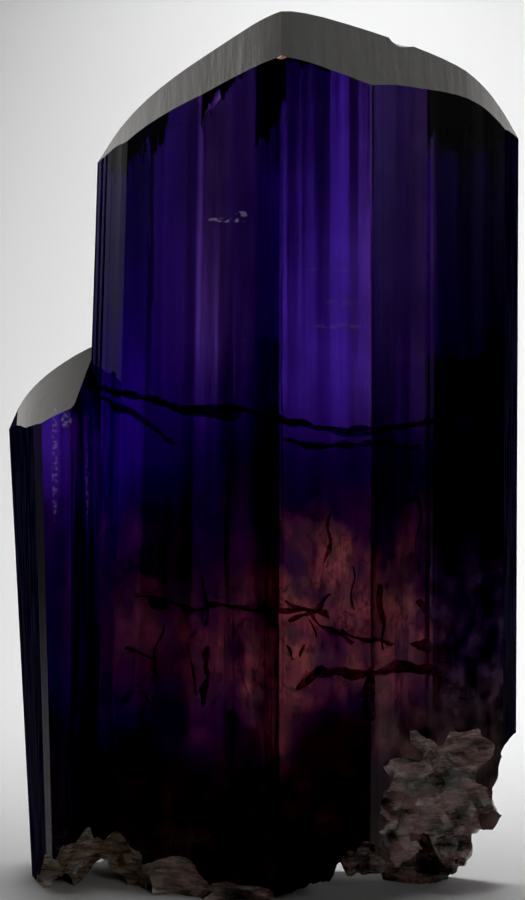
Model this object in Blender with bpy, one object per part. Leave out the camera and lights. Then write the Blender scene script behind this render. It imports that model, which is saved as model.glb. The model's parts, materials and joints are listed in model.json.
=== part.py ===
"""Rough tanzanite: a broad crystal and a short one grown together, broken off at the foot.

Lengths are in millimetres until a mesh is made, and meshes are in metres.
X runs across the broad face, -Y is the front, +Z runs up the crystals.
"""
import math
import random

import bmesh
import bpy
from mathutils import Vector, noise

MM = 0.001
NODE_NAME = "tanzanite_crystal"
STONE_COLOUR = (0.07, 0.02, 0.30, 1.0)
STONE_ROUGHNESS = 0.12
STONE_IOR = 1.69

# Prisms start below the surface that the stone stands on.
PRISM_FOOT = -3.0
# Corners closer than this are one corner.
WELD = 0.005

# Corners of the broad crystal's cross-section at its top, from the left edge round the front.
MAIN_OUTLINE = (
    (-8.7, 0.0), (-8.0, -1.4), (-7.1, -3.2), (-4.7, -4.6), (-3.1, -5.4), (-0.4, -6.3),
    (1.2, -6.7), (3.6, -7.4), (5.8, -7.8), (7.1, -6.6), (9.0, -5.4), (10.7, -4.2),
    (13.1, -2.3), (13.9, 0.0), (6.6, 3.9), (2.0, 3.8), (-0.9, 6.3), (-3.3, 7.8), (-7.5, 7.6),
)
MAIN_TOP = 48.2
# The line where its front and back tip faces meet, as (x, height), over the middle of its depth.
MAIN_RIDGE = (
    (-9.0, 39.6), (-7.6, 41.8), (-5.4, 43.9), (-1.8, 46.3), (0.1, 47.5), (1.5, 48.0),
    (6.4, 46.6), (10.5, 45.0), (11.9, 43.9), (13.0, 42.5), (13.9, 40.9),
)
MAIN_RIDGE_Y = 0.0
# Left of the pivot the foot is wider than the top by this factor; right of it they match.
MAIN_PIVOT_X = 1.2
MAIN_FOOT_SCALE = 1.18

# The short crystal on the left, set a little back; its right-hand half is inside the broad one.
SIDE_OUTLINE = (
    (-14.25, 2.2), (-13.1, -2.3), (-12.1, -3.9), (-10.4, -4.7), (-9.5, -3.8),
    (-8.8, -0.8), (-6.0, 2.2), (-6.6, 6.4), (-12.8, 7.0),
)
SIDE_TOP = 31.0
SIDE_RIDGE = ((-13.9, 24.9), (-13.2, 26.5), (-11.7, 28.0), (-9.4, 29.4), (-6.0, 30.7))
SIDE_RIDGE_Y = 2.2
SIDE_PIVOT_X = -10.4
SIDE_FOOT_SCALE = 0.58

# Fall of the tip faces with depth, in mm of height per mm, towards the front and the back.
FRONT_FALL = 0.30
BACK_FALL = 0.62
# One more tip face, on the short crystal beside the broad one: a point on it and its normal.
SIDE_CORNER_POINT = (-10.4, -4.4, 27.2)
SIDE_CORNER_NORMAL = (1.2, -0.58, 1.0)

# Growth lines along the prism faces are ridges in the outline, this far apart and this deep.
STRIATION_SPACING = 1.1
STRIATION_DEPTH = 0.05

# Broken foot: mean height, relief at two sizes, and the height of its ledges.
FLOOR_HEIGHT = 1.4
FLOOR_LUMPS = ((3.6, 1.5), (1.3, 0.55))
FLOOR_LEDGE = 0.7
# A ledge's riser runs over this share of the way from one flat to the next.
LEDGE_RISER = (0.3, 0.7)
FLOOR_CELL = 0.55
FLOOR_HALF_WIDTH = 17.0
FLOOR_HALF_DEPTH = 11.0
# Where the stone touches the surface, as (x, y, half width, half depth) of each flat spot.
FEET = (
    (-3.2, -5.2, 3.5, 3.0),
    (-0.6, -0.4, 2.7, 3.6),
    (8.2, 1.2, 1.7, 1.5),
    (-12.0, 1.9, 1.5, 1.5),
    (-5.6, 6.0, 1.9, 1.3),
)
FOOT_REACH = 4.2
# Where the underside arches up between them, as (x, y, half width, half depth).
ARCH = (4.7, 0.0, 2.6, 12.0)
ARCH_RISE = 1.1

# Shell-shaped chips, as (centre, half sizes) of the rough ball that each one follows.
CHIPS = (
    ((-8.8, -4.8, -0.6), (2.9, 5.0, 4.4)),
    ((-5.9, -5.5, 0.5), (3.0, 1.9, 1.9)),
    ((-11.9, -4.6, -0.6), (2.4, 3.6, 2.6)),
    ((9.6, -6.9, 0.4), (3.9, 3.4, 3.1)),
    ((14.6, -0.8, -0.8), (4.6, 6.0, 5.6)),
    ((15.0, -0.4, 5.5), (2.6, 5.5, 2.9)),
    ((14.4, -0.3, 7.6), (1.6, 3.5, 0.8)),
    ((11.9, -6.5, 7.8), (2.6, 3.7, 2.2)),
    ((10.3, -7.4, 5.2), (2.8, 3.6, 1.9)),
    ((7.9, -0.4, 46.6), (1.1, 2.2, 0.75)),
)
CHIP_ROUGHNESS = 0.11
CHIP_LUMP = 1.4
CHIP_SUBDIVISIONS = 4


def clear_scene():
    """Remove every object that the file opened with."""
    for old_object in list(bpy.data.objects):
        bpy.data.objects.remove(old_object, do_unlink=True)


def stone_material():
    """Return the clear violet material of the stone."""
    material = bpy.data.materials.new("violet_stone")
    material.use_nodes = True
    shader = material.node_tree.nodes["Principled BSDF"]
    shader.inputs["Base Color"].default_value = STONE_COLOUR
    shader.inputs["Roughness"].default_value = STONE_ROUGHNESS
    shader.inputs["Metallic"].default_value = 0.0
    shader.inputs["IOR"].default_value = STONE_IOR
    shader.inputs["Transmission Weight"].default_value = 1.0
    return material


def relief(x, y, z, size):
    """Return smooth noise from about -1 to 1 whose lumps measure about size mm."""
    return 2.0 * noise.noise(Vector((x, y, z)) / size)


def striated(outline, seed):
    """Return the outline with shallow ridges set along each of its sides."""
    generator = random.Random(seed)
    points = []
    for start, end in zip(outline, outline[1:] + outline[:1]):
        start_point = Vector(start)
        along = Vector(end) - start_point
        outward = Vector((along.y, -along.x)).normalized()
        ridge_count = round(along.length / STRIATION_SPACING)
        points.append(start_point)
        for index in range(1, ridge_count):
            share = (index + generator.uniform(-0.3, 0.3)) / ridge_count
            offset = generator.uniform(-STRIATION_DEPTH, STRIATION_DEPTH)
            points.append(start_point + along * share + outward * offset)
    return points


def prism(points, top, pivot_x, foot_scale):
    """Return a mesh extruded up from the outline, whose foot is scaled left of the pivot."""
    body = bmesh.new()
    foot_ring = [body.verts.new((point.x, point.y, PRISM_FOOT)) for point in points]
    foot_face = body.faces.new(foot_ring)
    bmesh.ops.extrude_face_region(body, geom=[foot_face], use_keep_orig=True)
    for vertex in body.verts:
        if vertex in foot_ring:
            left_reach = max(pivot_x - vertex.co.x, 0.0)
            vertex.co.x -= left_reach * (foot_scale - 1.0)
        else:
            vertex.co.z = top
    bmesh.ops.recalc_face_normals(body, faces=body.faces)
    return body


def slice_off(body, point, normal):
    """Cut away what lies past a plane and close the cut with one flat face."""
    everything = body.verts[:] + body.edges[:] + body.faces[:]
    cut = bmesh.ops.bisect_plane(
        body, geom=everything, plane_co=point, plane_no=normal, clear_outer=True
    )
    rim = [item for item in cut["geom_cut"] if isinstance(item, bmesh.types.BMEdge)]
    if rim:
        bmesh.ops.holes_fill(body, edges=rim)


def cut_tip(body, ridge, ridge_y):
    """Cut the front and back tip faces that meet along a ridge."""
    for (start_x, start_z), (end_x, end_z) in zip(ridge, ridge[1:]):
        rise = (end_z - start_z) / (end_x - start_x)
        ridge_point = (start_x, ridge_y, start_z)
        slice_off(body, ridge_point, (-rise, -FRONT_FALL, 1.0))
        slice_off(body, ridge_point, (-rise, BACK_FALL, 1.0))
    bmesh.ops.remove_doubles(body, verts=body.verts, dist=WELD)


def spot(x, y, centre_x, centre_y, half_width, half_depth):
    """Return 1 inside an oval spot, falling to 0 just outside it."""
    distance = math.hypot((x - centre_x) / half_width, (y - centre_y) / half_depth)
    return math.exp(-distance ** 4)


def floor_height(x, y):
    """Return the height of the broken underside, zero where the stone stands."""
    height = FLOOR_HEIGHT
    for size, amount in FLOOR_LUMPS:
        height += amount * relief(x, y, size, size)
    ledge_share = height / FLOOR_LEDGE
    height = FLOOR_LEDGE * (math.floor(ledge_share) + smooth_step(ledge_share % 1.0))
    height += ARCH_RISE * spot(x, y, *ARCH)
    for foot in FEET:
        height -= FOOT_REACH * spot(x, y, *foot)
    return max(height, 0.0)


def smooth_step(share):
    """Return a share from 0 to 1 that lingers at both ends, for a ledge's flat and riser."""
    start, end = LEDGE_RISER
    steep = min(max((share - start) / (end - start), 0.0), 1.0)
    return steep * steep * (3.0 - 2.0 * steep)


def floor_cutter():
    """Return the block under the stone, whose top is the broken underside."""
    block = bmesh.new()
    bmesh.ops.create_grid(
        block,
        x_segments=round(2.0 * FLOOR_HALF_WIDTH / FLOOR_CELL),
        y_segments=round(2.0 * FLOOR_HALF_DEPTH / FLOOR_CELL),
        size=1.0,
    )
    for vertex in block.verts:
        vertex.co.x *= FLOOR_HALF_WIDTH
        vertex.co.y *= FLOOR_HALF_DEPTH
        vertex.co.z = floor_height(vertex.co.x, vertex.co.y)
    lower = bmesh.ops.extrude_face_region(block, geom=block.faces[:])
    for vertex in lower["geom"]:
        if isinstance(vertex, bmesh.types.BMVert):
            vertex.co.z = 2.0 * PRISM_FOOT
    bmesh.ops.recalc_face_normals(block, faces=block.faces)
    return block


def chip_cutter(centre, half_sizes):
    """Return a rough ball that leaves a shell-shaped chip where it cuts."""
    ball = bmesh.new()
    bmesh.ops.create_icosphere(ball, subdivisions=CHIP_SUBDIVISIONS, radius=1.0)
    for vertex in ball.verts:
        reach = Vector(vertex.co[axis] * half_sizes[axis] for axis in range(3))
        place = Vector(centre) + reach
        swell = 1.0 + CHIP_ROUGHNESS * relief(place.x, place.y, place.z, CHIP_LUMP)
        vertex.co = Vector(centre) + reach * swell
    return ball


def add_object(name, body, collection):
    """Turn a millimetre mesh into an object in metres, in a collection."""
    bmesh.ops.scale(body, vec=(MM, MM, MM), verts=body.verts)
    mesh = bpy.data.meshes.new(name)
    body.to_mesh(mesh)
    body.free()
    new_object = bpy.data.objects.new(name, mesh)
    collection.objects.link(new_object)
    return new_object


def add_helper(name, body, collection):
    """Add a mesh that shapes the stone and isn't itself part of it."""
    helper = add_object(name, body, collection)
    helper.hide_render = True
    helper.display_type = "WIRE"
    return helper


def join_crystal(stone, crystal):
    """Grow a crystal onto the stone with a Boolean union."""
    union = stone.modifiers.new("grown_together", "BOOLEAN")
    union.operation = "UNION"
    union.solver = "EXACT"
    union.object = crystal


def break_off(stone, cutter_collection):
    """Cut the broken underside and every chip out of the stone at once."""
    breaks = stone.modifiers.new("broken_away", "BOOLEAN")
    breaks.operation = "DIFFERENCE"
    breaks.solver = "EXACT"
    breaks.operand_type = "COLLECTION"
    breaks.collection = cutter_collection


def set_on_origin(stone, helpers):
    """Move the stone and its helpers so that its foot's centre is at the origin."""
    bpy.context.view_layer.update()
    evaluated = stone.evaluated_get(bpy.context.evaluated_depsgraph_get())
    corners = [Vector(corner) for corner in evaluated.bound_box]
    low = [min(corner[axis] for corner in corners) for axis in range(3)]
    high = [max(corner[axis] for corner in corners) for axis in range(3)]
    shift = Vector((-(low[0] + high[0]) / 2.0, -(low[1] + high[1]) / 2.0, -low[2]))
    for piece in [stone] + helpers:
        piece.location = shift


def build():
    """Build the stone as one solid, with the shapes that join and cut it beside it."""
    clear_scene()
    stone_collection = bpy.data.collections.new("rough_tanzanite")
    crystal_collection = bpy.data.collections.new("joined_crystals")
    cutter_collection = bpy.data.collections.new("cutters")
    for collection in (stone_collection, crystal_collection, cutter_collection):
        bpy.context.scene.collection.children.link(collection)

    main_points = striated(MAIN_OUTLINE, seed=3)
    main_body = prism(main_points, MAIN_TOP, MAIN_PIVOT_X, MAIN_FOOT_SCALE)
    cut_tip(main_body, MAIN_RIDGE, MAIN_RIDGE_Y)
    stone = add_object(NODE_NAME, main_body, stone_collection)
    stone.data.materials.append(stone_material())

    side_points = striated(SIDE_OUTLINE, seed=7)
    side_body = prism(side_points, SIDE_TOP, SIDE_PIVOT_X, SIDE_FOOT_SCALE)
    cut_tip(side_body, SIDE_RIDGE, SIDE_RIDGE_Y)
    slice_off(side_body, SIDE_CORNER_POINT, SIDE_CORNER_NORMAL)
    side_crystal = add_helper("side_crystal", side_body, crystal_collection)
    join_crystal(stone, side_crystal)

    add_helper("broken_floor", floor_cutter(), cutter_collection)
    for number, (centre, half_sizes) in enumerate(CHIPS, start=1):
        add_helper(f"chip_{number:02d}", chip_cutter(centre, half_sizes), cutter_collection)
    break_off(stone, cutter_collection)
    set_on_origin(stone, [side_crystal] + list(cutter_collection.objects))


build()
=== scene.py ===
import json
import math
import random

import bmesh
import bpy
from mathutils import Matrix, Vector, noise

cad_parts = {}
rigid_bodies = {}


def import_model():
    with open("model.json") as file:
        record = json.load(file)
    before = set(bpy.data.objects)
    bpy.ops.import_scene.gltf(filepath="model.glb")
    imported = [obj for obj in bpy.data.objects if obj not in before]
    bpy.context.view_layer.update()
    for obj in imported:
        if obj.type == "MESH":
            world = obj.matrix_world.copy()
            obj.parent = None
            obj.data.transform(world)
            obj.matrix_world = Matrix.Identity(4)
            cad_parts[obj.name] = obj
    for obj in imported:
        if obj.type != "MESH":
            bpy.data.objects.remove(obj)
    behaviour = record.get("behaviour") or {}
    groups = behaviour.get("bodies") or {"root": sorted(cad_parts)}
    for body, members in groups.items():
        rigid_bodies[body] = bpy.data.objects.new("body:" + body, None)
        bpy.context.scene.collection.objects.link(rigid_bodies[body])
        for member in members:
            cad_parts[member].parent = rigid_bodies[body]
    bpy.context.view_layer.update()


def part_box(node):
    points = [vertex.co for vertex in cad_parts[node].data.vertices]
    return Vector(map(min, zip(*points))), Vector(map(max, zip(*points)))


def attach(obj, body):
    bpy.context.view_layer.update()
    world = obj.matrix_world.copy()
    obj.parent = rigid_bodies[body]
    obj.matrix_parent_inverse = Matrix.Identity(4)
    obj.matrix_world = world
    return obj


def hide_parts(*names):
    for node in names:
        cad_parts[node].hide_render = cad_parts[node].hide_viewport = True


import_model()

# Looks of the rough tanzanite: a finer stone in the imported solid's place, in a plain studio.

CAD_NODE = "tanzanite_crystal"
MM = 0.001

# The stone's shape, in millimetres, follows the CAD solid with finer growth lines and breaks.
PRISM_FOOT = -3.0
WELD = 0.004
MAIN_OUTLINE = (
    (-8.7, 0.0), (-8.0, -1.4), (-7.1, -3.2), (-4.7, -4.6), (-3.1, -5.4), (-0.4, -6.3),
    (1.2, -6.7), (3.6, -7.4), (5.8, -7.8), (7.1, -6.6), (9.0, -5.4), (10.7, -4.2),
    (13.1, -2.3), (13.9, 0.0), (6.6, 3.9), (2.0, 3.8), (-0.9, 6.3), (-3.3, 7.8), (-7.5, 7.6),
)
FRONT_POINTS = 14
MAIN_SEED = 3
MAIN_TOP = 48.2
MAIN_RIDGE = (
    (-9.0, 39.6), (-7.6, 41.8), (-5.4, 43.9), (-1.8, 46.3), (0.1, 47.5), (1.5, 48.0),
    (6.4, 46.6), (10.5, 45.0), (11.9, 43.9), (13.0, 42.5), (13.9, 40.9),
)
MAIN_RIDGE_Y = 0.0
MAIN_PIVOT_X = 1.2
MAIN_FOOT_SCALE = 1.18
MAIN_FALL = (0.30, 0.62)

SIDE_OUTLINE = (
    (-14.25, 2.2), (-13.1, -2.3), (-12.1, -3.9), (-10.4, -4.7), (-9.5, -3.8),
    (-8.8, -0.8), (-6.0, 2.2), (-6.6, 6.4), (-12.8, 7.0),
)
SIDE_SEED = 7
SIDE_TOP = 31.0
SIDE_RIDGE = ((-13.9, 24.9), (-13.2, 26.5), (-11.7, 28.0), (-9.4, 29.4), (-6.0, 30.7))
SIDE_RIDGE_Y = 2.2
SIDE_PIVOT_X = -10.4
SIDE_FOOT_SCALE = 0.58
SIDE_FALL = (0.30, 0.62)
SIDE_CORNER_POINT = (-10.4, -4.4, 27.2)
SIDE_CORNER_NORMAL = (1.2, -0.58, 1.0)
RIDGE_ROUNDS = 2
RIDGE_CUT = 0.25

# Growth lines: broad and fine ridges along the prism faces, as (spacing, depth, unevenness).
BROAD_LINES = (0.8, 0.035, 0.35)
FINE_LINES = (0.2, 0.006, 0.3)

# The broken underside: lumps and grain as (size, height), feet and arch as (x, y, half sizes).
BASE_HEIGHT = 1.4
BASE_LUMPS = ((3.6, 1.5), (1.3, 0.55))
BASE_GRAIN = ((0.55, 0.14), (0.25, 0.05))
BASE_LEDGE = 0.7
LEDGE_RISER = (0.3, 0.7)
BASE_CELL = 0.2
BASE_HALF_WIDTH = 17.0
BASE_HALF_DEPTH = 11.0
FEET = (
    (-3.2, -5.2, 3.5, 3.0),
    (-0.6, -0.4, 2.7, 3.6),
    (8.2, 1.2, 1.7, 1.5),
    (-12.0, 1.9, 1.5, 1.5),
    (-5.6, 6.0, 1.9, 1.3),
)
FOOT_REACH = 4.2
ARCH = (4.7, 0.0, 2.6, 12.0)
ARCH_RISE = 1.1

# Shell-shaped chips, as (centre, half sizes).
CHIPS = (
    ((-8.8, -4.8, -0.6), (2.9, 5.0, 4.4)),
    ((-5.9, -5.5, 0.5), (3.0, 1.9, 1.9)),
    ((-11.9, -4.6, -0.6), (2.4, 3.6, 2.6)),
    ((9.6, -6.9, 0.4), (3.9, 3.4, 3.1)),
    ((14.6, -0.8, -0.8), (4.6, 6.0, 5.6)),
    ((15.0, -0.4, 5.5), (2.6, 5.5, 2.9)),
    ((14.4, -0.3, 7.6), (1.6, 3.5, 0.8)),
    ((11.9, -6.5, 7.8), (2.6, 3.7, 2.2)),
    ((10.3, -7.4, 5.2), (2.8, 3.6, 1.9)),
    ((7.9, -0.4, 46.6), (1.1, 2.2, 0.75)),
    ((0.9, -6.8, 46.05), (0.5, 0.5, 0.4)),
    ((12.6, -8.6, 4.6), (6.4, 5.6, 7.0)),
    ((-2.2, -6.6, -0.5), (3.2, 1.6, 1.7)),
    ((-13.2, -3.9, 0.9), (1.6, 2.1, 1.5)),
)
CHIP_ROUGHNESS = 0.085
CHIP_LUMP = 1.4
CHIP_GRAIN = ((0.6, 0.03), (0.28, 0.012))
CHIP_LEVEL = 0.4
CHIP_SUBDIVISIONS = 5

# Stone colours, as what the light keeps on its way through.
STONE_IOR = 1.69
ABSORB_COLOUR = (0.5, 0.3, 0.7)
ABSORB_DENSITY = 100.0
BLUE_TINT = (0.07, 0.012, 0.72)
VIOLET_TINT = (0.125, 0.045, 0.58)
MAUVE_TINT = (0.36, 0.17, 0.8)
SIDE_TINT = (0.18, 0.09, 0.36)
DEEP_TINT = (0.010, 0.002, 0.035)
RED_TINT = (0.40, 0.115, 0.075)
ROSE_TINT = (0.28, 0.065, 0.08)
BROWN_TINT = (0.13, 0.075, 0.055)
ROOT_TINT = (0.0015, 0.0007, 0.001)

# Where each colour starts and is full, across the stone or up it.
VIOLET_COLUMN = (-5.2, -3.0)
MIDDLE_LEFT = (-3.6, -2.8)
MIDDLE_RIGHT = (0.0, -0.6)
MIDDLE_RISE = (25.0, 33.0)
MAUVE_COLUMN = (5.4, 6.2)
SIDE_COLUMN = (-9.4, -10.0)
VIOLET_RISE = (20.5, 34.0)
ROOT_FADE = (10.0, 6.5)
LEVEL_TILT = -0.34
TILT_END = 2.5

# The red-brown glow is an oval, dimmed by painted shade behind one upright bar, as (left, right,
# edge, share).
GLOW_CENTRE = (1.6, 14.4)
GLOW_HALF = (8.2, 5.6)
GLOW_EDGE = 0.75
GLOW_SHADE_BAR = (-3.2, -0.7, 0.3, 0.65)

# Patterns, as (lump size along X, Y and Z, detail, roughness, noise limits, values there).
LEVEL_DRIFT = ((5.0, 5.0, 9.0), 2.0, 0.5, (0.3, 0.7), (-2.4, 2.4))
GLOW_PATCHES = ((1.5, 1.5, 2.6), 2.0, 0.6, (0.34, 0.6), (0.16, 1.0))
RED_PATCHES = ((2.4, 2.4, 2.0), 2.0, 0.5, (0.38, 0.62), (0.0, 1.0))
BROWN_PATCHES = ((1.1, 1.1, 1.5), 2.0, 0.6, (0.46, 0.6), (0.0, 0.85))
STREAKS = ((0.35, 0.35, 14.0), 2.0, 0.5, (0.3, 0.7), (0.68, 1.0))
BLOTCHES = ((2.2, 2.2, 2.8), 2.0, 0.5, (0.3, 0.7), (0.72, 1.0))
TOOTH_RAGS = ((0.3, 0.3, 1.5), 2.0, 0.5, (0.3, 0.7), (-0.6, 0.6))
MARK_BEADS = ((0.35, 0.35, 0.25), 2.0, 0.5, (0.42, 0.6), (0.0, 1.0))
HAZE_CLOUDS = ((1.1, 1.1, 1.4), 2.0, 0.5, (0.25, 0.75), (0.1, 1.0))
HAZE_STREAKS = ((0.4, 0.4, 6.0), 2.0, 0.5, (0.25, 0.75), (0.1, 1.0))

# The depths between which each shade comes in, from the back towards the front.
FACET_FRONT = (0.5, -0.5)
TOOTH_FRONT = (0.2, -0.2)
MARK_FRONT = (-0.5, -1.5)
HAZE_FRONT = (1.0, 0.0)

# Fine veins: their lump size and detail, width, darkness, and the heights where they end.
VEIN_LUMPS = (1.3, 1.3, 2.4)
VEIN_DETAIL = 3.0
VEIN_WIDTH = 0.022
VEIN_DARK = 0.93
VEIN_TOP = (20.0, 25.0)

# Painted shade in dark teeth under the front rim, as (left, right, lower edge at the left and at
# the right).
PAINTED_TEETH = (
    (-8.1, -4.9, 38.9, 41.6),
    (-3.25, -0.9, 42.2, 45.2),
    (-0.35, 1.3, 40.9, 43.2),
    (1.2, 3.0, 45.6, 45.9),
    (8.8, 13.0, 41.5, 41.0),
)
TOOTH_EDGE = 0.08
TOOTH_RIM = 0.25
TOOTH_DARK = 0.9998

# Pale scratches and a beaded streak, as ((x, z) centre, half sizes, strength).
MARKS = (
    ((-1.9, 37.15), (1.1, 0.12), 0.9),
    ((-1.1, 37.5), (0.35, 0.16), 0.8),
    ((4.0, 31.6), (1.2, 0.14), 0.3),
    ((4.2, 32.9), (1.0, 0.16), 0.2),
    ((3.6, 34.6), (1.3, 0.1), 0.15),
    ((-11.25, 24.0), (0.16, 3.2), 0.6),
    ((-10.6, 26.2), (0.3, 0.5), 0.8),
    ((-9.45, 22.6), (0.12, 2.4), 0.35),
)
MARK_EDGE = 0.4
MARK_TINT = (0.42, 0.38, 0.55)

# Cloudy zones, as (left, right, heights of start, full, thinning and end, streaky, share, colour).
HAZES = (
    (-10.5, -8.6, 14.0, 24.0, 26.0, 27.2, True, 0.85, (0.13, 0.03, 0.6)),
    (-10.5, -8.6, 2.0, 6.0, 14.0, 22.0, True, 0.85, (0.03, 0.012, 0.07)),
    (8.9, 13.6, 8.0, 11.0, 15.0, 23.0, False, 0.85, (0.075, 0.04, 0.11)),
    (6.2, 13.6, 1.0, 3.0, 8.5, 14.0, False, 0.8, (0.17, 0.095, 0.09)),
    (-8.5, 6.8, -1.0, 0.5, 6.5, 9.5, False, 0.8, (0.032, 0.017, 0.017)),
    (-13.5, -10.2, -1.0, 0.5, 7.0, 13.0, True, 0.7, (0.04, 0.025, 0.05)),
)
HAZE_EDGE = 0.3

# Painted shade: how much each upright band behind the front faces lets through, as (left, right,
# above, below).
# The bands stand in for the dark and bright stripes that refraction through the faces behind
# gives.
PAINTED_FACET_SHADES = (
    (-7.9, -5.9, 0.6, 0.45),
    (-5.9, -3.3, 0.07, 0.2),
    (-3.9, -3.0, 0.4, 0.7),
    (-0.3, 1.2, 0.5, 0.6),
    (1.2, 5.7, 0.62, 0.62),
    (9.0, 13.4, 0.06, 0.5),
)
ZONE_FOOT = (14.5, 18.5)
FACET_BLEND = 0.12

# Growth faces: lump sizes of smudges and lines, and roughness for noise between the limits.
SMUDGE_LUMPS = (3.0, 3.0, 4.0)
SMUDGE_LIMITS = (0.35, 0.7)
TIP_ROUGHNESS = (0.12, 0.18)
PRISM_ROUGHNESS = (0.02, 0.08)
PRISM_GLOSS = (0.15, 0.15, 0.15, 1.0)
PRISM_LINES = (0.14, 0.14, 11.0)
TIP_LINES = (0.5, 9.0, 9.0)
TIP_DETAIL = 3.0
TIP_SHARE = 9.0
LINE_BUMP = (0.5, 0.012)

# Which faces get which material: slot numbers, then limits of a face's slope and place.
CLEAR, BROKEN, ETCHED, PRISM = range(4)
TIP_SLOPE = 0.3
SIDE_LIMIT = -8.9
ETCHED_SIDE = 0.885
ETCHED_OUTER = 12.0
ETCHED_DEPTH = -1.4
SHARP_ANGLE = 6.0

# Etched faces. Shares and roughness are (limit, limit, value, value); bumps (strength, height).
ETCHED_GRAIN = (0.3, 0.3, 4.0)
ETCHED_CLOUDS = (2.0, 2.0, 3.5)
ETCHED_DETAIL = 4.0
ETCHED_DARK = (0.016, 0.016, 0.032)
ETCHED_PALE = (0.045, 0.045, 0.08)
ETCHED_BROWN = (0.04, 0.036, 0.032)
ETCHED_PALE_SHARE = (0.35, 0.65, 0.0, 1.0)
ETCHED_BROWN_SHARE = (0.4, 0.65, 0.0, 0.7)
ETCHED_BROWN_TOP = (22.0, 10.0, 0.0, 1.0)
ETCHED_ROOT_SHARE = (0.0, 5.0, 0.0, 0.3)
ETCHED_ROUGHNESS = (0.3, 0.7, 0.4, 0.6)
ETCHED_CLEAR = 0.0
ETCHED_SPECULAR = 0.0
ETCHED_BUMP = (0.5, 0.03)

# Broken surfaces, in the same terms, with a painted pink-orange highlight on the chip at the apex.
BREAK_LUMPS = ((2.4, 2.4, 1.0), 4.0, 0.5)
BREAK_LAYERS = ((0.9, 0.9, 0.22), 5.0, 0.6)
BREAK_RIPPLES = ((0.8, 0.8, 0.22), 5.0, 0.6)
BREAK_BROWN = (0.10, 0.072, 0.058)
BREAK_PINK = (0.25, 0.145, 0.135)
BREAK_TAN = (0.40, 0.27, 0.19)
BREAK_GREY = (0.15, 0.13, 0.11)
BREAK_PALE = (0.5, 0.43, 0.42)
BREAK_DARK = (0.012, 0.008, 0.008)
APEX_HIGHLIGHT_TINT = (0.62, 0.28, 0.16)
BREAK_PINK_SHARE = (0.44, 0.6, 0.0, 1.0)
BREAK_PALE_SHARE = (0.52, 0.72, 0.0, 0.8)
BREAK_DARK_SHARE = (0.5, 0.36, 0.0, 0.9)
BREAK_TAN_SHARE = (0.42, 0.62, 0.0, 1.0)
LEFT_FOOT_SHARE = (-3.0, -6.0, 0.0, 0.8)
APEX_RISE = (44.0, 45.0, 0.0, 1.0)
APEX_FRONT = (-3.0, -4.0, 0.0, 1.0)
BREAK_ROUGHNESS = (0.35, 0.7, 0.14, 0.45)
BREAK_CLEAR = 0.2
BREAK_BUMP = (0.7, 0.09)

# Cracks and needles inside, as ((x, z) points seen from the front, depth, width).
CRACKS = (
    ((
        (-8.6, 27.5), (-5.3, 27.2), (-4.5, 26.8), (-1.2, 26.9),
        (1.5, 26.3), (4.8, 25.8), (9.0, 26.1),
    ), 4.0, 0.13),
    (((-8.5, 27.2), (-6.6, 26.4), (-4.5, 24.9)), 2.5, 0.12),
    (((-4.9, 27.0), (-3.0, 26.4), (-0.9, 26.5)), 1.5, 0.16),
    (((1.2, 25.4), (3.2, 24.9), (5.8, 25.3), (8.2, 24.8)), 2.5, 0.09),
    (((-4.9, 21.6), (-5.1, 19.0), (-5.2, 16.4)), 0.5, 0.14),
    (((0.7, 21.4), (0.8, 18.6)), 0.5, 0.16),
    (((3.7, 21.5), (3.6, 18.4)), 0.5, 0.14),
    (((4.8, 18.6), (4.9, 16.2)), 0.4, 0.12),
    (((-6.6, 16.3), (-3.0, 16.0), (0.6, 16.2), (3.7, 16.0)), 1.6, 0.12),
    (((-5.9, 16.2), (-4.9, 16.0)), 1.2, 0.5),
    (((1.5, 15.4), (2.6, 16.0), (3.8, 17.0)), 0.8, 0.2),
    (((1.2, 16.6), (2.6, 16.0), (4.9, 14.3)), 1.0, 0.24),
    (((4.3, 15.2), (5.6, 14.4), (6.9, 14.2)), 0.9, 0.16),
    (((1.4, 14.2), (1.5, 13.3)), 0.4, 0.2),
    (((2.3, 14.3), (2.2, 13.5)), 0.4, 0.15),
    (((-3.0, 13.9), (-2.8, 12.4), (-3.1, 10.6)), 1.2, 0.2),
    (((-3.1, 17.8), (-3.0, 15.0)), 0.6, 0.14),
    (((6.2, 17.6), (6.3, 14.0)), 0.6, 0.14),
    (((8.2, 16.5), (9.4, 14.9), (9.9, 13.8)), 1.0, 0.14),
    (((2.6, 16.1), (2.9, 14.6)), 0.5, 0.13),
    (((2.0, 11.7), (3.2, 12.7), (4.4, 12.9), (7.6, 12.7), (9.5, 12.3), (11.2, 10.6)), 2.4, 0.4),
    (((5.8, 12.7), (5.7, 10.2)), 0.6, 0.36),
    (((7.8, 14.2), (8.8, 13.6), (10.2, 13.3)), 1.6, 0.4),
    (((-7.2, 13.4), (-5.6, 13.2)), 0.8, 0.07),
    (((-5.3, 14.9), (-5.6, 12.0)), 0.4, 0.07),
    (((-3.9, 14.2), (-3.4, 11.2)), 0.5, 0.1),
    (((8.2, 22.5), (8.3, 17.8)), 0.4, 0.1),
    (((-1.8, 22.6), (-1.9, 17.0)), 0.4, 0.12),
)
CRACK_STEP = 0.16
CRACK_ROWS = 6
CRACK_COVER = 0.45
CRACK_END_DEPTH = 0.75
CRACK_SINK = 0.03

# How a crack drifts from side to side and swells; its lumps are (size, amount, shift X, shift Y).
CRACK_DRIFT = 0.2
CRACK_WAVE = 1.3
CRACK_APART = 7.0
CRACK_SWELL = 0.8
CRACK_LUMPS = ((0.8, 0.7, 9.0, 0.0), (0.3, 0.5, 0.0, 5.0))
CRACK_LEAST = 0.15
CRACK_EDGE = 0.008

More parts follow.
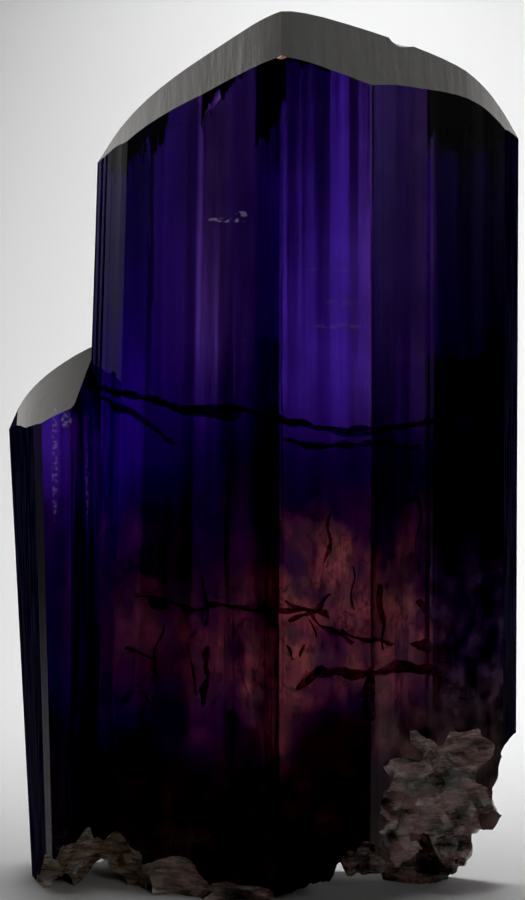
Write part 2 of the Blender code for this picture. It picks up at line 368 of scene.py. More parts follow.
CRACK_GRAIN = ((0.5, 0.5, 0.4), 4.0, 0.6)
CRACK_DARK = (0.09, 0.05, 0.07)
CRACK_PALE = (0.5, 0.34, 0.38)
CRACK_PALE_SHARE = (0.38, 0.66, 0.0, 1.0)
CRACK_ROUGHNESS = (0.3, 0.7, 0.25, 0.6)
CRACK_IOR = 1.0
CRACK_BUMP = (0.6, 0.05)

# The studio, in metres.
VIEW_ELEVATION = math.radians(7.0)
VIEW_DISTANCE = 0.42
VIEW_AIM = Vector((0.0, 0.0, 0.024))
FRAME_TALL = 0.0492
SENSOR = 36.0
CLIP_START = 0.01
CLIP_END = 20.0
BLACK_LEVEL = 0.004
GROUND_SIZE = 6.0
GROUND_COLOUR = (0.78, 0.78, 0.79, 1.0)
GROUND_ROUGHNESS = 0.8
GROUND_GLOSS = 0.1

# The world's strength in front and behind, its fading upward, and a brighter patch on the left.
WORLD_COLOUR = (1.0, 0.985, 0.96, 1.0)
WORLD_FRONT = 0.045
WORLD_BACK = 0.58
WORLD_TURN = (0.3, 0.78)
WORLD_TOP = 0.15
WORLD_LEFT = 0.6
LEFT_NEAR = (-0.28, -0.38)
LEFT_FAR = (-0.7, -0.5)

# Soft lights, as (name, place, aim, size, power, spread in degrees).
LIGHTS = (
    ("far_soft_0", (0.0, -0.5, 0.6), (0.0, -0.5, 0.0), (1.6, 0.8), 1.1, 60.0),
    ("far_soft_1", (-0.7, 0.1, 0.6), (-0.7, 0.1, 0.0), (0.6, 1.4), 1.1, 60.0),
    ("far_soft_2", (0.7, 0.1, 0.6), (0.7, 0.1, 0.0), (0.6, 1.4), 1.1, 60.0),
    ("back_soft", (0.016, 0.41, 0.32), (0.016, 0.41, 0.0), (0.105, 0.8), 0.32, 26.0),
    ("front_soft", (0.12, -0.44, 0.17), (0.0, 0.0, 0.012), (0.14, 0.14), 0.005, 16.0),
)


def relief(x, y, z, size):
    """Return smooth noise from about -1 to 1 whose lumps measure about size mm."""
    return 2.0 * noise.noise(Vector((x, y, z)) / size)


def striated(outline, seed):
    """Return the outline with broad and fine growth ridges set along its sides."""
    generator = random.Random(seed)
    spacing, depth, uneven = BROAD_LINES
    fine_spacing, fine_depth, fine_uneven = FINE_LINES
    points = []
    for start, end in zip(outline, outline[1:] + outline[:1]):
        start_point = Vector(start)
        along = Vector(end) - start_point
        outward = Vector((along.y, -along.x)).normalized()
        broad_count = max(round(along.length / spacing), 1)
        shares = [0.0]
        offsets = [0.0]
        for index in range(1, broad_count):
            shares.append((index + generator.uniform(-uneven, uneven)) / broad_count)
            offsets.append(generator.uniform(-depth, depth))
        shares.append(1.0)
        offsets.append(0.0)
        for index in range(broad_count):
            gap = (shares[index + 1] - shares[index]) * along.length
            fine_count = max(round(gap / fine_spacing), 1)
            for fine_index in range(fine_count):
                blend = fine_index / fine_count
                if fine_index:
                    blend += generator.uniform(-fine_uneven, fine_uneven) / fine_count
                share = shares[index] + (shares[index + 1] - shares[index]) * blend
                offset = offsets[index] + (offsets[index + 1] - offsets[index]) * blend
                if fine_index:
                    offset += generator.uniform(-fine_depth, fine_depth)
                points.append(start_point + along * share + outward * offset)
    return points


def prism(points, top, pivot_x, foot_scale):
    """Return a mesh extruded up from the outline, whose foot is scaled left of the pivot."""
    body = bmesh.new()
    foot_ring = [body.verts.new((point.x, point.y, PRISM_FOOT)) for point in points]
    foot_face = body.faces.new(foot_ring)
    bmesh.ops.extrude_face_region(body, geom=[foot_face], use_keep_orig=True)
    for vertex in body.verts:
        if vertex in foot_ring:
            left_reach = max(pivot_x - vertex.co.x, 0.0)
            vertex.co.x -= left_reach * (foot_scale - 1.0)
        else:
            vertex.co.z = top
    bmesh.ops.recalc_face_normals(body, faces=body.faces)
    return body


def slice_off(body, point, normal):
    """Cut away what lies past a plane and close the cut with one flat face."""
    everything = body.verts[:] + body.edges[:] + body.faces[:]
    cut = bmesh.ops.bisect_plane(
        body, geom=everything, plane_co=point, plane_no=normal, clear_outer=True
    )
    rim = [item for item in cut["geom_cut"] if isinstance(item, bmesh.types.BMEdge)]
    if rim:
        bmesh.ops.holes_fill(body, edges=rim)


def smooth_ridge(ridge):
    """Return the ridge with its corners cut back a few times, so that the tip curves gently."""
    points = [Vector(point) for point in ridge]
    for _ in range(RIDGE_ROUNDS):
        eased = [points[0]]
        for start, end in zip(points, points[1:]):
            eased += [start.lerp(end, RIDGE_CUT), start.lerp(end, 1.0 - RIDGE_CUT)]
        points = eased + [points[-1]]
    return points


def cut_tip(body, ridge, ridge_y, falls):
    """Cut the front and back tip faces that meet along a ridge."""
    front_fall, back_fall = falls
    ridge = smooth_ridge(ridge)
    for (start_x, start_z), (end_x, end_z) in zip(ridge, ridge[1:]):
        rise = (end_z - start_z) / (end_x - start_x)
        ridge_point = (start_x, ridge_y, start_z)
        slice_off(body, ridge_point, (-rise, -front_fall, 1.0))
        slice_off(body, ridge_point, (-rise, back_fall, 1.0))
    bmesh.ops.remove_doubles(body, verts=body.verts, dist=WELD)


def spot(x, y, centre_x, centre_y, half_width, half_depth):
    """Return 1 inside an oval spot, falling to 0 just outside it."""
    distance = math.hypot((x - centre_x) / half_width, (y - centre_y) / half_depth)
    return math.exp(-distance ** 4)


def ledge_step(share):
    """Return a share from 0 to 1 that stays flat at both ends, with a riser between them."""
    start, end = LEDGE_RISER
    steep = min(max((share - start) / (end - start), 0.0), 1.0)
    return steep * steep * (3.0 - 2.0 * steep)


def base_height(x, y):
    """Return the height of the broken underside, zero where the stone stands."""
    height = BASE_HEIGHT
    for size, amount in BASE_LUMPS:
        height += amount * relief(x, y, size, size)
    ledge_share = height / BASE_LEDGE
    height = BASE_LEDGE * (math.floor(ledge_share) + ledge_step(ledge_share % 1.0))
    height += ARCH_RISE * spot(x, y, *ARCH)
    for foot in FEET:
        height -= FOOT_REACH * spot(x, y, *foot)
    for size, amount in BASE_GRAIN:
        height += amount * relief(x, y, size, size)
    return max(height, 0.0)


def base_cutter():
    """Return the block under the stone, whose top is the broken underside."""
    block = bmesh.new()
    bmesh.ops.create_grid(
        block,
        x_segments=round(2.0 * BASE_HALF_WIDTH / BASE_CELL),
        y_segments=round(2.0 * BASE_HALF_DEPTH / BASE_CELL),
        size=1.0,
    )
    for vertex in block.verts:
        vertex.co.x *= BASE_HALF_WIDTH
        vertex.co.y *= BASE_HALF_DEPTH
        vertex.co.z = base_height(vertex.co.x, vertex.co.y)
    lower = bmesh.ops.extrude_face_region(block, geom=block.faces[:])
    for vertex in lower["geom"]:
        if isinstance(vertex, bmesh.types.BMVert):
            vertex.co.z = 2.0 * PRISM_FOOT
    bmesh.ops.recalc_face_normals(block, faces=block.faces)
    return block


def chip_cutter(centre, half_sizes):
    """Return a rough ball that leaves a shell-shaped chip where it cuts."""
    ball = bmesh.new()
    bmesh.ops.create_icosphere(ball, subdivisions=CHIP_SUBDIVISIONS, radius=1.0)
    for vertex in ball.verts:
        reach = Vector(vertex.co[axis] * half_sizes[axis] for axis in range(3))
        place = Vector(centre) + reach
        swell = 1.0 + CHIP_ROUGHNESS * relief(place.x, place.y, place.z, CHIP_LUMP)
        for size, amount in CHIP_GRAIN:
            swell += amount * relief(place.x * CHIP_LEVEL, place.y * CHIP_LEVEL, place.z, size)
        vertex.co = Vector(centre) + reach * swell
    return ball


def add_object(name, body, material):
    """Turn a millimetre mesh into an object in metres."""
    bmesh.ops.scale(body, vec=(MM, MM, MM), verts=body.verts)
    mesh = bpy.data.meshes.new(name)
    body.to_mesh(mesh)
    body.free()
    mesh.materials.append(material)
    new_object = bpy.data.objects.new(name, mesh)
    bpy.context.scene.collection.objects.link(new_object)
    return new_object


def link_value(tree, socket, source):
    """Feed a node socket from another socket or a plain value."""
    if isinstance(source, bpy.types.NodeSocket):
        tree.links.new(source, socket)
    else:
        socket.default_value = source


def math_node(tree, operation, *sources):
    """Add a Math node and return its output."""
    node = tree.nodes.new("ShaderNodeMath")
    node.operation = operation
    for socket, source in zip(node.inputs, sources):
        link_value(tree, socket, source)
    return node.outputs[0]


def multiply(tree, first, *factors):
    """Return the product of two or more sockets and plain values."""
    product = first
    for factor in factors:
        product = math_node(tree, "MULTIPLY", product, factor)
    return product


def add(tree, first, second):
    """Return the sum of two sockets or plain values."""
    return math_node(tree, "ADD", first, second)


def subtract(tree, first, second):
    """Return the first socket or plain value less the second."""
    return math_node(tree, "SUBTRACT", first, second)


def map_range(tree, value, from_low, from_high, to_low, to_high):
    """Add a smooth Map Range node and return its output."""
    node = tree.nodes.new("ShaderNodeMapRange")
    node.interpolation_type = "SMOOTHSTEP"
    for socket, source in zip(node.inputs, (value, from_low, from_high, to_low, to_high)):
        link_value(tree, socket, source)
    return node.outputs[0]


def mix_colour(tree, factor, first, second, blend="MIX"):
    """Add a colour Mix node and return its output."""
    node = tree.nodes.new("ShaderNodeMix")
    node.data_type = "RGBA"
    node.blend_type = blend
    link_value(tree, node.inputs["Factor"], factor)
    colour_inputs = [socket for socket in node.inputs if socket.type == "RGBA"]
    for socket, source in zip(colour_inputs, (first, second)):
        if isinstance(source, tuple):
            source = (*source, 1.0)
        link_value(tree, socket, source)
    return next(socket for socket in node.outputs if socket.type == "RGBA")


def place_in_mm(tree):
    """Return the shaded point in the stone's own millimetres, as a vector and as X, Y and Z."""
    scale = tree.nodes.new("ShaderNodeVectorMath")
    scale.operation = "SCALE"
    tree.links.new(tree.nodes.new("ShaderNodeTexCoord").outputs["Object"], scale.inputs[0])
    scale.inputs["Scale"].default_value = 1.0 / MM
    split = tree.nodes.new("ShaderNodeSeparateXYZ")
    tree.links.new(scale.outputs[0], split.inputs[0])
    return scale.outputs[0], split.outputs


def noise_value(tree, place, lumps, detail=2.0, roughness=0.5):
    """Add a Noise texture with lumps of a size along each axis, in mm, and return its value."""
    stretched = tree.nodes.new("ShaderNodeVectorMath")
    stretched.operation = "DIVIDE"
    tree.links.new(place, stretched.inputs[0])
    stretched.inputs[1].default_value = lumps
    texture = tree.nodes.new("ShaderNodeTexNoise")
    tree.links.new(stretched.outputs[0], texture.inputs["Vector"])
    texture.inputs["Scale"].default_value = 1.0
    texture.inputs["Detail"].default_value = detail
    texture.inputs["Roughness"].default_value = roughness
    return texture.outputs[0]


def pattern(tree, place, lumps, detail, roughness, limits, values):
    """Return noise that turns smoothly from one value to the other between its limits."""
    return map_range(tree, noise_value(tree, place, lumps, detail, roughness), *limits, *values)


def band(tree, value, left, right, edge):
    """Return 1 between two limits, falling smoothly to 0 across each of them."""
    enter = map_range(tree, value, left - edge, left + edge, 0.0, 1.0)
    leave = map_range(tree, value, right - edge, right + edge, 1.0, 0.0)
    return multiply(tree, enter, leave)


def oval_mask(tree, first, second, centre, half_sizes, edge):
    """Return 1 inside an oval in two coordinates, falling to 0 over its edge share."""
    total = 0.0
    for value, middle, half in zip((first, second), centre, half_sizes):
        share = math_node(tree, "DIVIDE", subtract(tree, value, middle), half)
        total = add(tree, total, multiply(tree, share, share))
    return map_range(tree, total, 1.0 + edge, 1.0 - edge, 0.0, 1.0)


def bump(tree, shader, height, strength, distance):
    """Raise the shading by a height value, distance in millimetres."""
    node = tree.nodes.new("ShaderNodeBump")
    node.inputs["Strength"].default_value = strength
    node.inputs["Distance"].default_value = distance * MM
    tree.links.new(height, node.inputs["Height"])
    tree.links.new(node.outputs[0], shader.inputs["Normal"])


def new_stone_material(name):
    """Return a material's tree and shader, with the stone's refraction and absorption set."""
    material = bpy.data.materials.new(name)
    material.use_nodes = True
    tree = material.node_tree
    shader = tree.nodes["Principled BSDF"]
    shader.inputs["IOR"].default_value = STONE_IOR
    absorption = tree.nodes.new("ShaderNodeVolumeAbsorption")
    absorption.inputs["Color"].default_value = (*ABSORB_COLOUR, 1.0)
    absorption.inputs["Density"].default_value = ABSORB_DENSITY
    tree.links.new(absorption.outputs[0], tree.nodes["Material Output"].inputs["Volume"])
    return material, tree, shader


def straight_across(tree, across, height):
    """Return the X of a point before the prism's left side was widened towards its foot."""
    drop = subtract(tree, MAIN_TOP, height)
    widening = multiply(tree, drop, (MAIN_FOOT_SCALE - 1.0) / (MAIN_TOP - PRISM_FOOT))
    moved = add(tree, across, multiply(tree, widening, MAIN_PIVOT_X))
    narrowed = math_node(tree, "DIVIDE", moved, add(tree, widening, 1.0))
    return math_node(tree, "MAXIMUM", math_node(tree, "MINIMUM", across, MAIN_PIVOT_X), narrowed)


def painted_facet_shade(tree, column, depth, height):
    """Return painted shade: how much each upright band behind the front faces lets through."""
    shade = 1.0
    for left, right, upper_shade, lower_shade in PAINTED_FACET_SHADES:
        change = map_range(tree, height, *ZONE_FOOT, lower_shade - 1.0, upper_shade - 1.0)
        change = multiply(tree, band(tree, column, left, right, FACET_BLEND), change)
        shade = multiply(tree, shade, add(tree, change, 1.0))
    front = map_range(tree, depth, *FACET_FRONT, 0.0, 1.0)
    return add(tree, multiply(tree, front, subtract(tree, shade, 1.0)), 1.0)


def painted_tooth_shade(tree, place, column, depth, height):
    """Return the painted shade of dark ragged teeth that hang under the front rim of the tip."""
    ragged = pattern(tree, place, *TOOTH_RAGS)
    front = map_range(tree, depth, *TOOTH_FRONT, 0.0, 1.0)
    shade = 1.0
    for left, right, left_height, right_height in PAINTED_TEETH:
        slope = (right_height - left_height) / (right - left)
        line = multiply(tree, subtract(tree, column, left), slope)
        line = add(tree, add(tree, line, left_height), ragged)
        tooth = multiply(
            tree,
            map_range(tree, subtract(tree, height, line), -TOOTH_RIM, TOOTH_RIM, 0.0, 1.0),
            band(tree, column, left, right, TOOTH_EDGE),
            front,
            TOOTH_DARK,
        )
        shade = multiply(tree, shade, subtract(tree, 1.0, tooth))
    return shade


def vein_shade(tree, place, level):
    """Return the fine dark veins that run through the lower half of the stone."""
    ripple = noise_value(tree, place, VEIN_LUMPS, VEIN_DETAIL)
    distance = math_node(tree, "ABSOLUTE", subtract(tree, ripple, 0.5))
    line = map_range(tree, distance, 0.0, VEIN_WIDTH, -VEIN_DARK, 0.0)
    lower = map_range(tree, level, *VEIN_TOP, 1.0, 0.0)
    return add(tree, multiply(tree, lower, line), 1.0)


def upper_colour(tree, across, column, height):
    """Return the blue, violet and mauve columns of the stone's upper half."""
    violet = map_range(tree, column, *VIOLET_COLUMN, 0.0, 1.0)
    colour = mix_colour(tree, violet, BLUE_TINT, VIOLET_TINT)
    middle = multiply(
        tree,
        map_range(tree, column, *MIDDLE_RIGHT, 0.0, 1.0),
        map_range(tree, column, *MIDDLE_LEFT, 0.0, 1.0),
        map_range(tree, height, *MIDDLE_RISE, 0.0, 1.0),
    )
    mauve = add(tree, middle, map_range(tree, column, *MAUVE_COLUMN, 0.0, 1.0))
    colour = mix_colour(tree, mauve, colour, MAUVE_TINT)
    return mix_colour(tree, map_range(tree, across, *SIDE_COLUMN, 0.0, 1.0), colour, SIDE_TINT)


def glow_share(tree, place, across, column, level):
    """Return how strongly the red-brown glow shows at each point, less under the painted shade
    bar.
    """
    left, right, edge, dimming = GLOW_SHADE_BAR
    bar = multiply(tree, band(tree, column, left, right, edge), dimming)
    return multiply(
        tree,
        oval_mask(tree, across, level, GLOW_CENTRE, GLOW_HALF, GLOW_EDGE),
        pattern(tree, place, *GLOW_PATCHES),
        subtract(tree, 1.0, bar),
    )


def glow_colour(tree, place):
    """Return the rose, red and brown patches of the glow."""
    colour = mix_colour(tree, pattern(tree, place, *RED_PATCHES), ROSE_TINT, RED_TINT)
    return mix_colour(tree, pattern(tree, place, *BROWN_PATCHES), colour, BROWN_TINT)


def stone_tint_and_painted_shade(tree, place, axes):
    """Return the stone's tint: blue-violet above, a red-brown glow below, a dark root, with
    painted shade in the facet bands, teeth and glow bar.
    """
    across, depth, height = axes
    column = straight_across(tree, across, height)
    level = add(tree, height, pattern(tree, place, *LEVEL_DRIFT))
    leftward = math_node(tree, "MINIMUM", across, TILT_END)
    tilted = add(tree, level, multiply(tree, leftward, LEVEL_TILT))
    violet = map_range(tree, tilted, *VIOLET_RISE, 0.0, 1.0)
    colour = mix_colour(tree, violet, DEEP_TINT, upper_colour(tree, across, column, height))
    glow = glow_share(tree, place, across, column, level)
    colour = mix_colour(tree, glow, colour, glow_colour(tree, place))
    colour = mix_colour(tree, map_range(tree, level, *ROOT_FADE, 0.0, 1.0), colour, ROOT_TINT)
    # Streaks, blotches and veins are the stone's own; the teeth and facet bands are painted shade.
    shade = multiply(
        tree,
        pattern(tree, place, *STREAKS),
        pattern(tree, place, *BLOTCHES),
        painted_tooth_shade(tree, place, column, depth, height),
        painted_facet_shade(tree, column, depth, height),
        vein_shade(tree, place, level),
    )
    grey = tree.nodes.new("ShaderNodeCombineColor")
    for socket in grey.inputs[:3]:
        tree.links.new(shade, socket)
    return mix_colour(tree, 1.0, colour, grey.outputs[0], "MULTIPLY")


def scratch_marks(tree, place, axes):
    """Return the pale scratches and the beaded streak on the front faces."""
    across, depth, height = axes
    total = 0.0
    for centre, half_sizes, strength in MARKS:
        mark = oval_mask(tree, across, height, centre, half_sizes, MARK_EDGE)
        total = add(tree, total, multiply(tree, mark, strength))
    front = map_range(tree, depth, *MARK_FRONT, 0.0, 1.0)
    total = multiply(tree, total, pattern(tree, place, *MARK_BEADS), front)
    return math_node(tree, "MINIMUM", total, 1.0)


def add_haze(tree, place, axes, colour):
    """Return the colour with the cloudy zones laid over it, and how cloudy each point is."""
    across, depth, height = axes
    front = map_range(tree, depth, *HAZE_FRONT, 0.0, 1.0)
    clouds = pattern(tree, place, *HAZE_CLOUDS)
    streaks = pattern(tree, place, *HAZE_STREAKS)
    cloudy = 0.0
    for left, right, start, full, thin, end, streaky, share, tint in HAZES:
        haze = multiply(
            tree,
            band(tree, across, left, right, HAZE_EDGE),
            map_range(tree, height, start, full, 0.0, share),
            map_range(tree, height, thin, end, 1.0, 0.0),
            streaks if streaky else clouds,
            front,
        )
        colour = mix_colour(tree, haze, colour, tint)
        cloudy = math_node(tree, "MAXIMUM", cloudy, haze)
    return colour, cloudy


def face_material(name, on_tip):
    """Return clear, finely lined growth faces, with clouds and scratches except on the tip."""
    material, tree, shader = new_stone_material(name)
    place, axes = place_in_mm(tree)
    colour = stone_tint_and_painted_shade(tree, place, axes)
    smudge = noise_value(tree, place, SMUDGE_LUMPS)
    lines = noise_value(tree, place, PRISM_LINES)
    if on_tip:
        roughness = TIP_ROUGHNESS
        tip_lines = noise_value(tree, place, TIP_LINES, TIP_DETAIL)
        lines = add(tree, lines, multiply(tree, tip_lines, TIP_SHARE))
        shader.inputs["Transmission Weight"].default_value = 1.0
    else:
        roughness = PRISM_ROUGHNESS
        mark = scratch_marks(tree, place, axes)
        colour, haze = add_haze(tree, place, axes, colour)
        colour = mix_colour(tree, mark, colour, MARK_TINT)
        clear = subtract(tree, 1.0, math_node(tree, "MAXIMUM", mark, haze))
        tree.links.new(clear, shader.inputs["Transmission Weight"])
        shader.inputs["Specular Tint"].default_value = PRISM_GLOSS
    tree.links.new(colour, shader.inputs["Base Color"])
    tree.links.new(map_range(tree, smudge, *SMUDGE_LIMITS, *roughness), shader.inputs["Roughness"])
    bump(tree, shader, lines, *LINE_BUMP)
    return material


def etched_material():
    """Return the dull, finely grained faces at the stone's far left and right."""
    material, tree, shader = new_stone_material("etched_faces")
    place, (across, _, height) = place_in_mm(tree)
    grain = noise_value(tree, place, ETCHED_GRAIN, ETCHED_DETAIL)
    clouds = noise_value(tree, place, ETCHED_CLOUDS, ETCHED_DETAIL)
    colour = mix_colour(tree, map_range(tree, grain, *ETCHED_PALE_SHARE), ETCHED_DARK, ETCHED_PALE)
    brown = multiply(
        tree,
        map_range(tree, clouds, *ETCHED_BROWN_SHARE),
        map_range(tree, height, *ETCHED_BROWN_TOP),
    )
    colour = mix_colour(tree, brown, colour, ETCHED_BROWN)
    colour = mix_colour(tree, map_range(tree, across, *ETCHED_ROOT_SHARE), colour, ROOT_TINT)
    tree.links.new(colour, shader.inputs["Base Color"])
    tree.links.new(map_range(tree, grain, *ETCHED_ROUGHNESS), shader.inputs["Roughness"])
    shader.inputs["Transmission Weight"].default_value = ETCHED_CLEAR
    shader.inputs["Specular IOR Level"].default_value = ETCHED_SPECULAR
    bump(tree, shader, grain, *ETCHED_BUMP)
    return material


def break_material():
    """Return the broken, brown-grey, only partly clear surface of the foot and the chips."""
    material, tree, shader = new_stone_material("broken_surface")
    place, (across, depth, height) = place_in_mm(tree)
    broad = noise_value(tree, place, *BREAK_LUMPS)
    fine = noise_value(tree, place, *BREAK_LAYERS)
    colour = mix_colour(tree, map_range(tree, broad, *BREAK_PINK_SHARE), BREAK_BROWN, BREAK_PINK)
    colour = mix_colour(tree, map_range(tree, fine, *BREAK_PALE_SHARE), colour, BREAK_PALE)
    colour = mix_colour(tree, map_range(tree, broad, *BREAK_DARK_SHARE), colour, BREAK_DARK)
    tan = mix_colour(tree, map_range(tree, fine, *BREAK_TAN_SHARE), BREAK_GREY, BREAK_TAN)
    colour = mix_colour(tree, map_range(tree, across, *LEFT_FOOT_SHARE), colour, tan)
    # Painted highlight: pink-orange on the broken faces at the front of the apex.
    apex_highlight = multiply(
        tree, map_range(tree, height, *APEX_RISE), map_range(tree, depth, *APEX_FRONT)
    )
    colour = mix_colour(tree, apex_highlight, colour, APEX_HIGHLIGHT_TINT)
    tree.links.new(colour, shader.inputs["Base Color"])
    tree.links.new(map_range(tree, fine, *BREAK_ROUGHNESS), shader.inputs["Roughness"])
    shader.inputs["Transmission Weight"].default_value = BREAK_CLEAR
    bump(tree, shader, noise_value(tree, place, *BREAK_RIPPLES), *BREAK_BUMP)
    return material


def add_main_crystal(materials):
    """Add the broad crystal, with a slot for each of the stone's materials."""
    body = prism(striated(MAIN_OUTLINE, MAIN_SEED), MAIN_TOP, MAIN_PIVOT_X, MAIN_FOOT_SCALE)
    cut_tip(body, MAIN_RIDGE, MAIN_RIDGE_Y, MAIN_FALL)
    crystal = add_object("rough_tanzanite", body, materials[CLEAR])
    for material in materials[CLEAR + 1:]:
        crystal.data.materials.append(material)
    return crystal


def add_short_crystal(material):
    """Add the short crystal on the left, with the inner corner of its tip cut off."""
    body = prism(striated(SIDE_OUTLINE, SIDE_SEED), SIDE_TOP, SIDE_PIVOT_X, SIDE_FOOT_SCALE)
    cut_tip(body, SIDE_RIDGE, SIDE_RIDGE_Y, SIDE_FALL)
    slice_off(body, SIDE_CORNER_POINT, SIDE_CORNER_NORMAL)
    return add_object("short_crystal", body, material)


def add_cutters(material):
    """Add the block and the rough balls that break the stone, and return their collection."""
    cutters = bpy.data.collections.new("cutters")
    bpy.context.scene.collection.children.link(cutters)
    bodies = [base_cutter()] + [chip_cutter(*chip) for chip in CHIPS]
    for number, body in enumerate(bodies):
        cutters.objects.link(add_object(f"cutter_{number:02d}", body, material))
    return cutters


def add_boolean(target, name, operation):
    """Add an exact boolean modifier to an object and return it."""
    modifier = target.modifiers.new(name, "BOOLEAN")
    modifier.operation = operation
    modifier.solver = "EXACT"
    return modifier


def box_of(mesh):
    """Return the lowest and highest corner of a mesh."""
    low = Vector(min(vertex.co[axis] for vertex in mesh.vertices) for axis in range(3))
    high = Vector(max(vertex.co[axis] for vertex in mesh.vertices) for axis in range(3))
    return low, high


def fit_to_cad(mesh):
    """Centre a mesh on the CAD solid and give it the same lowest and highest point."""
    low, high = box_of(mesh)
    cad_low, cad_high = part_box(CAD_NODE)
    shift = (Vector(cad_low) + Vector(cad_high) - low - high) / 2.0
    stretch = (cad_high[2] - cad_low[2]) / (high.z - low.z)
    for vertex in mesh.vertices:
        vertex.co.x += shift.x
        vertex.co.y += shift.y
        vertex.co.z = cad_low[2] + (vertex.co.z - low.z) * stretch


def sort_faces(mesh):
    """Give the etched side faces and the prism faces their own materials."""
    for face in mesh.polygons:
        steep = abs(face.normal.x) > ETCHED_SIDE and face.normal.y < 0.0
        outer = abs(face.center.x) > ETCHED_OUTER * MM or face.center.y > ETCHED_DEPTH * MM
        on_tip = face.normal.z > TIP_SLOPE and face.center.x > SIDE_LIMIT * MM
        if face.material_index == CLEAR and steep and outer:
            face.material_index = ETCHED
        elif face.material_index == CLEAR and not on_tip:
            face.material_index = PRISM


def build_stone():
    """Build the fine stone as one closed mesh and put it where the CAD solid is."""
    materials = [
        face_material("clear_faces", True),
        break_material(),
        etched_material(),
        face_material("prism_faces", False),
    ]
    stone = add_main_crystal(materials)
    short_crystal = add_short_crystal(materials[CLEAR])
    cutters = add_cutters(materials[BROKEN])
    union = add_boolean(stone, "grown_together", "UNION")
    union.object = short_crystal
    break_away = add_boolean(stone, "broken_away", "DIFFERENCE")
    break_away.operand_type = "COLLECTION"
    break_away.collection = cutters
    break_away.material_mode = "TRANSFER"

    depsgraph = bpy.context.evaluated_depsgraph_get()
    solid = bpy.data.meshes.new_from_object(stone.evaluated_get(depsgraph))
    stone.modifiers.clear()
    stone.data = solid
    for helper in [short_crystal, *cutters.objects]:
        bpy.data.objects.remove(helper, do_unlink=True)
    bpy.data.collections.remove(cutters)

    fit_to_cad(solid)
    sort_faces(solid)
    solid.shade_smooth()
    solid.set_sharp_from_angle(angle=math.radians(SHARP_ANGLE))
    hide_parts(CAD_NODE)
    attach(stone, "root")


def front_depth(x):
    """Return the Y of the main crystal's front face at an X."""
    front = MAIN_OUTLINE[:FRONT_POINTS]
    for (start_x, start_y), (end_x, end_y) in zip(front, front[1:]):
        if start_x <= x <= end_x:
            share = (x - start_x) / (end_x - start_x)
            return start_y + (end_y - start_y) * share
    return 0.0


def crack_path(points):
    """Return small even steps along a line of points."""
    path = []
    for start, end in zip(points, points[1:]):
        start_point, end_point = Vector(start), Vector(end)
        count = max(round((end_point - start_point).length / CRACK_STEP), 1)
        path += [start_point.lerp(end_point, index / count) for index in range(count)]
    path.append(Vector(points[-1]))
    return path


def crack_ring(number, point, across, near, depth, width, fade):
    """Return the points round a thin crack at one step along it, from near the front inward."""
    upper = []
    lower = []
    for step in range(CRACK_ROWS + 1):
        share = step / CRACK_ROWS
        y = near + depth * share * (CRACK_END_DEPTH + (1.0 - CRACK_END_DEPTH) * fade)
        drift = CRACK_DRIFT * relief(point.x, y, point.y + CRACK_APART * number, CRACK_WAVE)
        swell = CRACK_SWELL
        for size, amount, shift_x, shift_y in CRACK_LUMPS:
            swell += amount * relief(point.x + shift_x, y + shift_y, point.y, size)
        taper = math.sqrt(1.0 - (2.0 * share - 1.0) ** 4)
        half = width / 2.0 * fade * max(swell, CRACK_LEAST) * taper
        middle = point + across * drift
        edge = across * max(half, CRACK_EDGE)
        sink = CRACK_SINK * (y - near)
        upper.append((middle.x + edge.x, y, middle.y + edge.y - sink))
        lower.append((middle.x - edge.x, y, middle.y - edge.y - sink))
    return upper + lower[::-1]


def crack_rings(number, points, depth, width):
    """Return the rings of points of a crack, which thins out towards both its ends."""
    path = crack_path(points)
    rings = []
    for index, point in enumerate(path):
        before = path[max(index - 1, 0)]
        after = path[min(index + 1, len(path) - 1)]
        across = Vector((before.y - after.y, after.x - before.x)).normalized()
        end_share = abs(2.0 * index / (len(path) - 1) - 1.0)
        fade = math.sqrt(max(1.0 - end_share ** 4, 0.0))
        near = front_depth(point.x) + CRACK_COVER
        rings.append(crack_ring(number, point, across, near, depth, width, fade))
    return rings


def skinned(rings):
    """Return the closed mesh with a skin from each ring to the next and a cap on each end."""
    body = bmesh.new()
    loops = [[body.verts.new(point) for point in ring] for ring in rings]
    for first, second in zip(loops, loops[1:]):
        for index in range(len(first)):
            following = (index + 1) % len(first)
            body.faces.new((first[index], first[following], second[following], second[index]))
    body.faces.new(loops[0])
    body.faces.new(reversed(loops[-1]))
    bmesh.ops.recalc_face_normals(body, faces=body.faces)
    return body


def crack_material():
    """Return the brown, cloudy filling of the cracks, which lets a little light through."""
    material = bpy.data.materials.new("crack_filling")
    material.use_nodes = True
    tree = material.node_tree
    shader = tree.nodes["Principled BSDF"]
    place, _ = place_in_mm(tree)
    grain = noise_value(tree, place, *CRACK_GRAIN)
    colour = mix_colour(tree, map_range(tree, grain, *CRACK_PALE_SHARE), CRACK_DARK, CRACK_PALE)
    tree.links.new(colour, shader.inputs["Base Color"])
    tree.links.new(map_range(tree, grain, *CRACK_ROUGHNESS), shader.inputs["Roughness"])
    shader.inputs["IOR"].default_value = CRACK_IOR
    shader.inputs["Transmission Weight"].default_value = 1.0
    bump(tree, shader, grain, *CRACK_BUMP)
    return material


def build_cracks():
    """Set all the cracks and needles inside the stone."""
    filling = crack_material()
    for number, (points, depth, width) in enumerate(CRACKS):
        body = skinned(crack_rings(number, points, depth, width))
        crack = add_object(f"crack_{number:02d}", body, filling)
        crack.data.shade_smooth()
        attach(crack, "root")


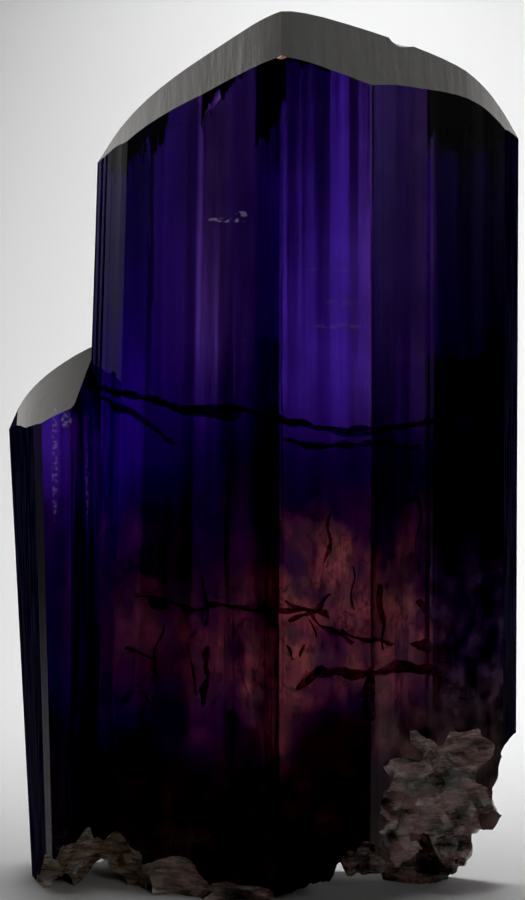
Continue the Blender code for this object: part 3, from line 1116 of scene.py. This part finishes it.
def build_floor():
    """Add the pale plain floor."""
    body = bmesh.new()
    bmesh.ops.create_grid(body, x_segments=1, y_segments=1, size=GROUND_SIZE / MM)
    material = bpy.data.materials.new("pale_floor")
    material.use_nodes = True
    shader = material.node_tree.nodes["Principled BSDF"]
    shader.inputs["Base Color"].default_value = GROUND_COLOUR
    shader.inputs["Roughness"].default_value = GROUND_ROUGHNESS
    shader.inputs["Specular IOR Level"].default_value = GROUND_GLOSS
    ground = add_object("floor", body, material)


def add_area_light(name, place, aim, size, power, spread):
    """Add a soft rectangular light that points at a place and isn't seen itself."""
    data = bpy.data.lights.new(name, "AREA")
    data.shape = "RECTANGLE"
    data.size, data.size_y = size
    data.energy = power
    data.spread = math.radians(spread)
    light = bpy.data.objects.new(name, data)
    light.location = place
    light.rotation_euler = (Vector(aim) - Vector(place)).to_track_quat("-Z", "Y").to_euler()
    light.visible_camera = False
    bpy.context.scene.collection.objects.link(light)


def build_world():
    """Surround the stone with a plain studio: pale behind it and dim in front."""
    world = bpy.data.worlds.new("studio")
    bpy.context.scene.world = world
    world.use_nodes = True
    tree = world.node_tree
    direction = tree.nodes.new("ShaderNodeSeparateXYZ")
    tree.links.new(tree.nodes.new("ShaderNodeTexCoord").outputs["Generated"], direction.inputs[0])
    sideways, backward, upward = direction.outputs
    left = multiply(
        tree,
        map_range(tree, sideways, *LEFT_NEAR, 0.0, WORLD_LEFT),
        map_range(tree, sideways, *LEFT_FAR, 0.0, 1.0),
    )
    strength = multiply(
        tree,
        map_range(tree, backward, *WORLD_TURN, WORLD_FRONT, WORLD_BACK),
        map_range(tree, upward, 0.0, 1.0, 1.0, WORLD_TOP),
        add(tree, left, 1.0),
    )
    background = tree.nodes["Background"]
    background.inputs["Color"].default_value = WORLD_COLOUR
    tree.links.new(strength, background.inputs["Strength"])


def build_lights():
    """Light the floor from above, brightest behind the stone, and the stone's front faintly."""
    for light in LIGHTS:
        add_area_light(*light)


def build_camera():
    """Place the camera in front of the stone, a little above it."""
    data = bpy.data.cameras.new("camera")
    data.sensor_width = SENSOR
    data.lens = SENSOR / 2.0 * VIEW_DISTANCE / (FRAME_TALL / 2.0)
    camera = bpy.data.objects.new("camera", data)
    back = Vector((0.0, -math.cos(VIEW_ELEVATION), math.sin(VIEW_ELEVATION)))
    camera.location = VIEW_AIM + back * VIEW_DISTANCE
    camera.rotation_euler = (-back).to_track_quat("-Z", "Y").to_euler()
    data.clip_start = CLIP_START
    data.clip_end = CLIP_END
    bpy.context.scene.collection.objects.link(camera)
    bpy.context.scene.camera = camera


def set_tone():
    """Keep plain colours, with the faint veil of stray light taken off the blacks."""
    view = bpy.context.scene.view_settings
    view.view_transform = "Standard"
    view.use_curve_mapping = True
    view.curve_mapping.black_level = (BLACK_LEVEL, BLACK_LEVEL, BLACK_LEVEL)
    view.curve_mapping.update()


build_stone()
build_cracks()
build_floor()
build_world()
build_lights()
build_camera()
set_tone()

bpy.context.view_layer.update()
